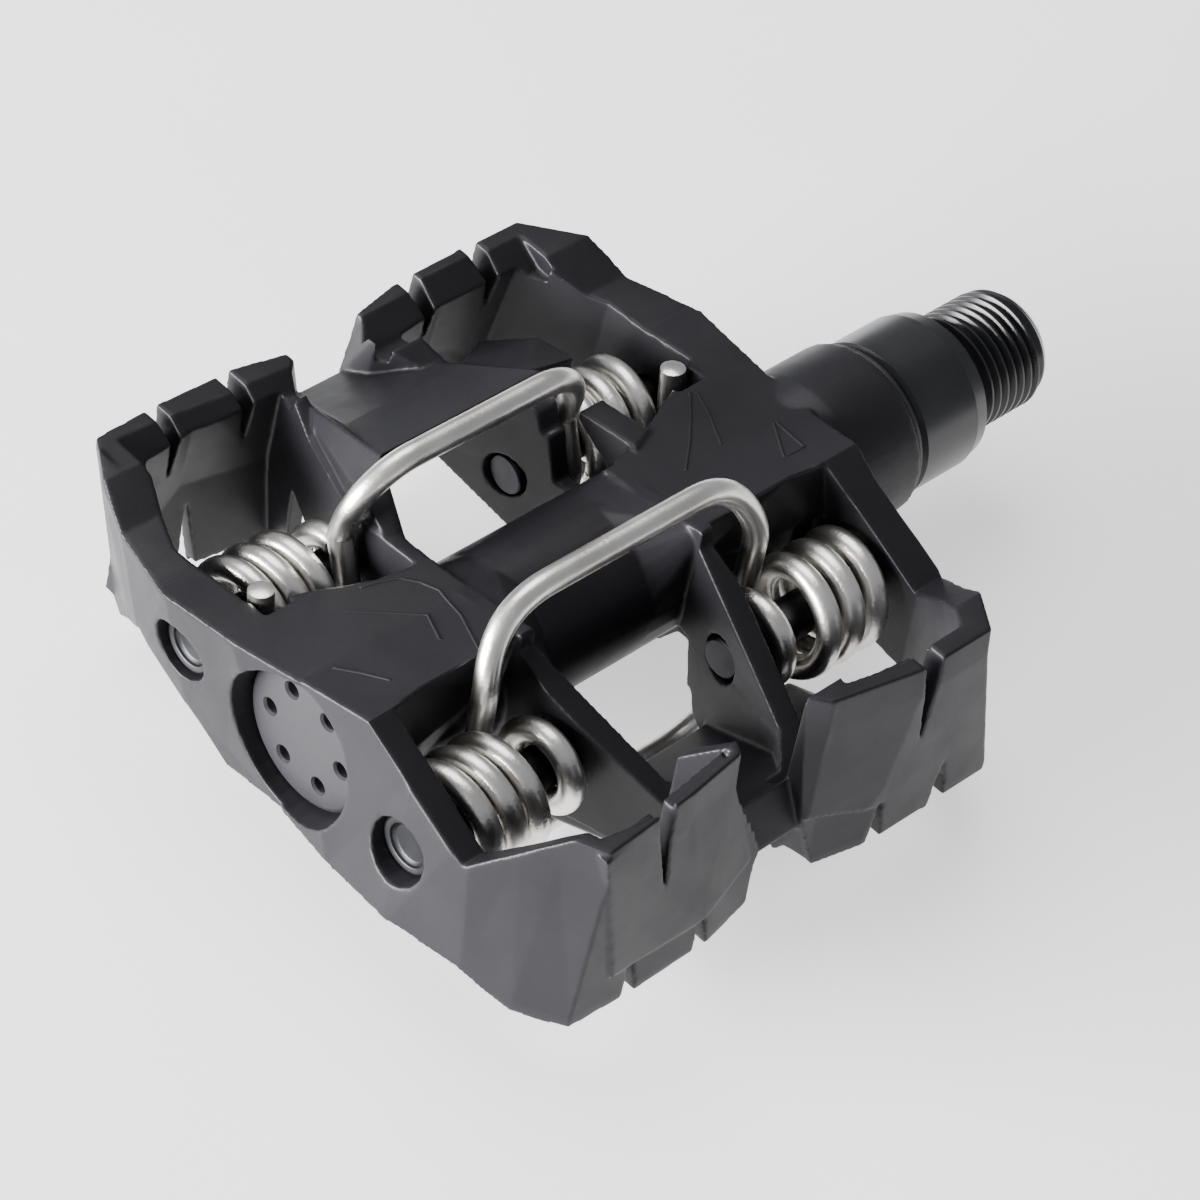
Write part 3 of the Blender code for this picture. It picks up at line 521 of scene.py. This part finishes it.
# End cap (x, radius) in mm and its ring of key holes
CAP_STATIONS = ((-48.3, 0.01), (-48.3, 8.5), (-49.9, 8.5), (-50.3, 8.0), (-50.3, 0.01))
CAP_HOLES = 6
CAP_HOLE_RING_R = 5.4
CAP_HOLE_STATIONS = ((-48.6, 0.9), (-50.0, 0.9), (-50.6, 1.3))
CAP_HOLE_SIDES = 20

# Spring pins (x, radius) in mm; the outboard ones have a flanged head with a dished face
PIN_OUTBOARD_STATIONS = (
    (-50.9, 0.01), (-50.9, 2.1), (-51.2, 2.4), (-51.5, 2.5), (-51.6, 3.1), (-51.4, 3.4),
    (-47.7, 3.4), (-47.7, 2.4), (-28.3, 2.4), (-28.0, 2.1), (-28.0, 0.01),
)
PIN_INBOARD_STATIONS = (
    (-7.9, 0.01), (-7.9, 2.2), (-7.7, 2.4), (15.4, 2.4), (15.6, 2.2), (15.6, 0.01),
)
PIN_SIDES = 48


def thread_ridge(name):
    """Helical ridge with a rounded crest that runs out to nothing at both ends."""
    x0, x1 = THREAD_X
    turns = (x1 - x0) / THREAD_PITCH
    count = int(turns * THREAD_STEPS)
    foot_r = THREAD_MINOR_R
    half = THREAD_PITCH * THREAD_FOOT
    crest_half, crest_drop = THREAD_CREST
    rings = []
    for i in range(count + 1):
        share = i / count
        fade = min(1.0, share * turns / THREAD_RUN_IN, (1.0 - share) * turns / THREAD_RUN_OUT)
        crest = foot_r + (THREAD_MAJOR_R - foot_r) * fade
        angle = math.tau * turns * share
        x = x0 + (x1 - x0) * share
        section = ((x - half, foot_r - THREAD_SINK), (x - half, foot_r),
                   (x - crest_half, crest - crest_drop), (x, crest), (x + crest_half, crest - crest_drop),
                   (x + half, foot_r), (x + half, foot_r - THREAD_SINK))
        rings.append([(px, r * math.cos(angle), r * math.sin(angle)) for px, r in section])
    bm = bmesh.new()
    add_loft(bm, rings)
    return link_bmesh(name, bm, smooth_angle=40.0)


def build_axle(mat):
    """Turned axle with its hex socket and the crank thread."""
    core = turned_solid("core", AXLE_STATIONS)
    end = AXLE_END_X
    bm = bmesh.new()
    add_loft(bm, [circle_yz(end - HEX_DEPTH, HEX_R, 6), circle_yz(end - HEX_BEVEL, HEX_R, 6),
                  circle_yz(end + HEX_PAST_END, HEX_R + HEX_BEVEL + HEX_PAST_END, 6)])
    cut_away(core, link_bmesh("socket", bm, smooth_angle=20.0))
    axle = shade(joined("axle_turned", [core, thread_ridge("ridge")]), smooth_angle=20.0)
    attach(paint(axle, mat), "axle_set")
    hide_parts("axle")


def build_seal(mat):
    """Dust seal with a rounded lip and a wiping groove."""
    seal = turned_ring("seal_lip", rounded_outline(SEAL_OUTLINE, radius=0.12, steps=3))
    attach(paint(seal, mat), "pedal_set")
    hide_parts("dust_seal")


def build_cap(mat):
    """End cap with six key holes, each countersunk."""
    cap = turned_solid("cap_disc", rounded_outline(CAP_STATIONS, radius=0.25, steps=4))
    holes = bmesh.new()
    for k in range(CAP_HOLES):
        angle = math.tau * k / CAP_HOLES
        cy = CAP_HOLE_RING_R * math.cos(angle)
        cz = CAP_HOLE_RING_R * math.sin(angle)
        add_loft(holes, [circle_yz(x, r, CAP_HOLE_SIDES, cy, cz) for x, r in CAP_HOLE_STATIONS])
    cut_away(cap, link_bmesh("holes", holes))
    shade(cap, smooth_angle=30.0)
    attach(paint(cap, mat), "pedal_set")
    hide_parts("end_cap")


def build_pins(mat):
    """The four spring pins, with eased corners."""
    outboard = rounded_outline(PIN_OUTBOARD_STATIONS, radius=0.1, steps=3)
    inboard = rounded_outline(PIN_INBOARD_STATIONS, radius=0.1, steps=3)
    for label, cy in (("front", PIN_Y), ("rear", -PIN_Y)):
        outer = turned_solid("pin_socket_" + label, outboard, PIN_SIDES, cy)
        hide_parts("pin_outboard_" + label)
        inner = turned_solid("pin_plain_" + label, inboard, PIN_SIDES, cy)
        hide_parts("pin_inboard_" + label)
        for obj in (outer, inner):
            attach(paint(obj, mat), "pedal_set")


# ---------------------------------------------------------------- body

# Round parts of the body (x, radius) in mm, drawn with more sides than the exact body has
HUB_SLEEVE = ((-25.0, 6.2), (-25.0, 9.1), (-11.0, 9.1), (-11.0, 6.2))
BOSS_SLEEVE = ((15.1, 8.95), (15.1, 9.1), (20.1, 10.2), (28.6, 10.2), (29.2, 9.8), (29.2, 8.95))
SLEEVE_SIDES = 128

# Moulded lines on the two top plates (x, y) in mm, and the height in metres they are dropped from
RELIEF_R = 0.22
RELIEF_SINK = 0.12
RELIEF_STEP = 0.5
RELIEF_SIDES = 8
RELIEF_EDGE = 0.1
ABOVE_BODY_M = 0.03
RELIEF_LINES = (
    ((-48.4, -0.6), (-46.9, -3.2), (-45.6, -5.9)),
    ((-42.0, 4.9), (-38.9, 2.3), (-35.8, -0.6), (-37.7, -4.5)),
    ((-38.4, 6.7), (-36.2, 6.1), (-34.2, 5.3), (-33.0, 3.6), (-32.3, 1.5), (-33.4, -2.9), (-36.0, -8.3)),
    ((10.4, 8.6), (7.7, 5.8), (4.6, 2.8), (0.7, -0.5)),
    ((10.9, 8.2), (9.5, 5.0), (6.7, 0.2)),
    ((14.0, -0.7), (12.8, -6.0), (9.9, -5.8), (13.7, -0.7)),
)


def build_relief(mat):
    """Fine raised lines that follow the plates, on both faces."""
    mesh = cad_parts["pedal_body"].data
    surface = BVHTree.FromPolygons([v.co for v in mesh.vertices], [p.vertices for p in mesh.polygons])
    parts = []
    for line in RELIEF_LINES:
        path = []
        for point in refined([(x, y, 0.0) for x, y in line], RELIEF_STEP):
            start = Vector((point.x * MM, point.y * MM, ABOVE_BODY_M))
            hit = surface.ray_cast(start, Vector((0.0, 0.0, -1.0)))[0]
            path.append((point.x, point.y, hit.z / MM - RELIEF_SINK))
        for place in (list, turned_over):
            parts.append(sweep("relief", place(path), RELIEF_R, RELIEF_SIDES, RELIEF_EDGE))
    relief = joined("relief_lines", parts)
    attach(paint(shade(relief, 60.0), mat), "pedal_set")


def build_body(mat):
    """Moulded skin: the exact body remeshed with softened edges."""
    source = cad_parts["pedal_body"]
    mesh = source.data.copy()
    body = bpy.data.objects.new("body_skin", mesh)
    bpy.context.scene.collection.objects.link(body)
    bm = bmesh.new()
    bm.from_mesh(mesh)
    bmesh.ops.remove_doubles(bm, verts=bm.verts, dist=SKIN_WELD_M)
    for outline in (HUB_SLEEVE, BOSS_SLEEVE):
        sleeve = turned_ring("sleeve", outline, SLEEVE_SIDES)
        bm.from_mesh(sleeve.data)
        bpy.data.objects.remove(sleeve)
    bm.to_mesh(mesh)
    bm.free()
    grid = body.modifiers.new("skin", "REMESH")
    grid.mode = "VOXEL"
    grid.voxel_size = SKIN_VOXEL * MM
    ease = body.modifiers.new("ease", "SMOOTH")
    ease.factor = 0.5
    ease.iterations = SKIN_SMOOTH_STEPS
    apply_modifiers(body)
    triangles = len(body.data.polygons) * 2
    if triangles > SKIN_TRIANGLES:
        thin = body.modifiers.new("thin", "DECIMATE")
        thin.ratio = SKIN_TRIANGLES / triangles
        apply_modifiers(body)
    shade(body, 60.0)
    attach(paint(body, mat), "pedal_set")
    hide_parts("pedal_body")


def paint_inside(steel, plastic):
    """Sealed inner pieces keep their exact shape and take a finish."""
    for name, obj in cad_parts.items():
        if name.startswith("bearing_") or name in ("spacer_washer", "lock_nut"):
            paint(obj, steel)
        elif name == "inboard_bush":
            paint(obj, plastic)


# ---------------------------------------------------------------- studio

# Lights (metres, watts), all aimed at the middle of the part
WORLD_COLOUR = (0.93, 0.95, 1.0, 1.0)
WORLD_STRENGTH = 0.36
KEY_LIGHT = {"at": (-0.83, 0.30, 0.12), "size": (0.7, 0.4), "watts": 68.0}
TOP_LIGHT = {"at": (0.05, 0.30, 0.7), "size": (0.6, 0.5), "watts": 4.0}

# Floor (mm): how far below the part, how thick and how far it reaches each way
FLOOR_DROP = 0.2
FLOOR_THICK = 5.0
FLOOR_REACH = 3000.0
FLOOR_GREY = (0.86, 0.88)
FLOOR_ROUGH = 0.9
FLOOR_GLOW = 0.8


def area_light(name, at, size, watts):
    """White rectangular lamp aimed at the origin."""
    data = bpy.data.lights.new(name, "AREA")
    data.shape = "RECTANGLE"
    data.size, data.size_y = size
    data.energy = watts
    lamp = bpy.data.objects.new(name, data)
    lamp.location = at
    lamp.rotation_euler = (-Vector(at)).to_track_quat("-Z", "Y").to_euler()
    bpy.context.scene.collection.objects.link(lamp)


def build_studio():
    """Soft world light, two lamps and a pale floor."""
    world = bpy.data.worlds.new("studio")
    bpy.context.scene.world = world
    world.use_nodes = True
    background = world.node_tree.nodes["Background"]
    background.inputs["Color"].default_value = WORLD_COLOUR
    background.inputs["Strength"].default_value = WORLD_STRENGTH
    area_light("key", **KEY_LIGHT)
    area_light("top", **TOP_LIGHT)
    bm = bmesh.new()
    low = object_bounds()[0][2] / MM - FLOOR_DROP
    square = [(x * FLOOR_REACH, y * FLOOR_REACH) for x, y in ((-1, -1), (1, -1), (1, 1), (-1, 1))]
    add_loft(bm, [[(x, y, z) for x, y in square] for z in (low - FLOOR_THICK, low)])
    floor = link_bmesh("floor", bm)
    mat, tree, shader, coords = new_material("floor_paper", 0.0)
    paper = noise(tree, coords, scale=30.0, detail=3.0)
    tree.links.new(ramp(tree, paper, *map(grey, FLOOR_GREY)), shader.inputs["Base Color"])
    shader.inputs["Roughness"].default_value = FLOOR_ROUGH
    shader.inputs["Emission Color"].default_value = (1.0, 1.0, 1.0, 1.0)
    shader.inputs["Emission Strength"].default_value = FLOOR_GLOW
    paint(floor, mat)


def build_camera():
    """Camera at the corner view, rolled about its own line of sight."""
    data = bpy.data.cameras.new("photo_view")
    data.lens = CAMERA_LENS
    data.sensor_width = CAMERA_SENSOR
    data.clip_start, data.clip_end = CAMERA_CLIP
    camera = bpy.data.objects.new("photo_view", data)
    bpy.context.scene.collection.objects.link(camera)
    look = (Vector(CAMERA_AIM) - Vector(CAMERA_AT)).to_track_quat("-Z", "Y").to_matrix().to_4x4()
    roll = Matrix.Rotation(math.radians(CAMERA_ROLL), 4, "Z")
    camera.matrix_world = Matrix.Translation(CAMERA_AT) @ look @ roll
    bpy.context.scene.camera = camera


def main():
    composite = moulded_plastic("black_composite", **COMPOSITE)
    cap_plastic = moulded_plastic("cap_plastic", **CAP_PLASTIC)
    rubber = moulded_plastic("seal_rubber", **SEAL_RUBBER)
    bush = moulded_plastic("bush_plastic", **BUSH_PLASTIC)
    black_steel = turned_metal("black_steel", **BLACK_STEEL)
    pin_steel = turned_metal("pin_steel", **PIN_STEEL)
    bright = turned_metal("bearing_steel", **BEARING_STEEL)
    wire = drawn_wire("nickel_wire")
    build_body(composite)
    build_relief(composite)
    build_wires(wire)
    build_axle(black_steel)
    build_seal(rubber)
    build_cap(cap_plastic)
    build_pins(pin_steel)
    paint_inside(bright, bush)
    build_studio()
    build_camera()


main()
